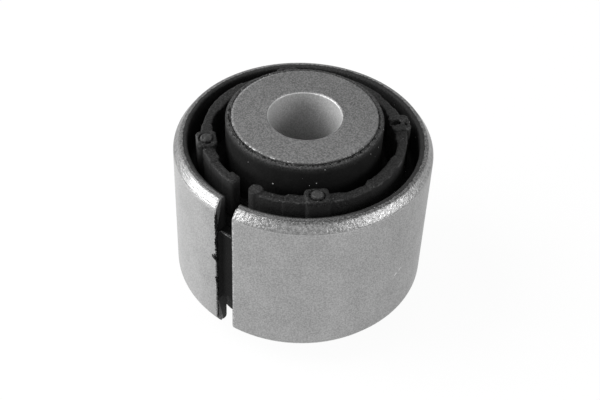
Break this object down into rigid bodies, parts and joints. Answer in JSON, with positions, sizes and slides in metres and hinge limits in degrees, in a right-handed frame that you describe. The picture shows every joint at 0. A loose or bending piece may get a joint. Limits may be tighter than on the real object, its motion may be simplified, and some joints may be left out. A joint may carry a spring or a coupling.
{
  "type": "rubber metal bush",
  "caption": "Cylindrical rubber metal bush: a slit outer sleeve, a stiffening ring with small bosses set in the rubber, and a thick inner sleeve with a plain chamfered bore.",
  "frame": {"origin": "centre of the inner sleeve's bore at mid length", "axes": "+Z along the bore; the slit of the outer sleeve faces -Y"},
  "size_m": [0.052, 0.0519, 0.045],
  "materials": {
    "outer_metal": "blasted",
    "inner_metal": "blasted",
    "ring_polymer": "matte",
    "rubber": "matte"
  },
  "bodies": {
    "root": {"outer_sleeve": "outer_metal", "inner_sleeve": "inner_metal", "intermediate_ring": "ring_polymer", "rubber_body": "rubber"}
  },
  "joints": []
}
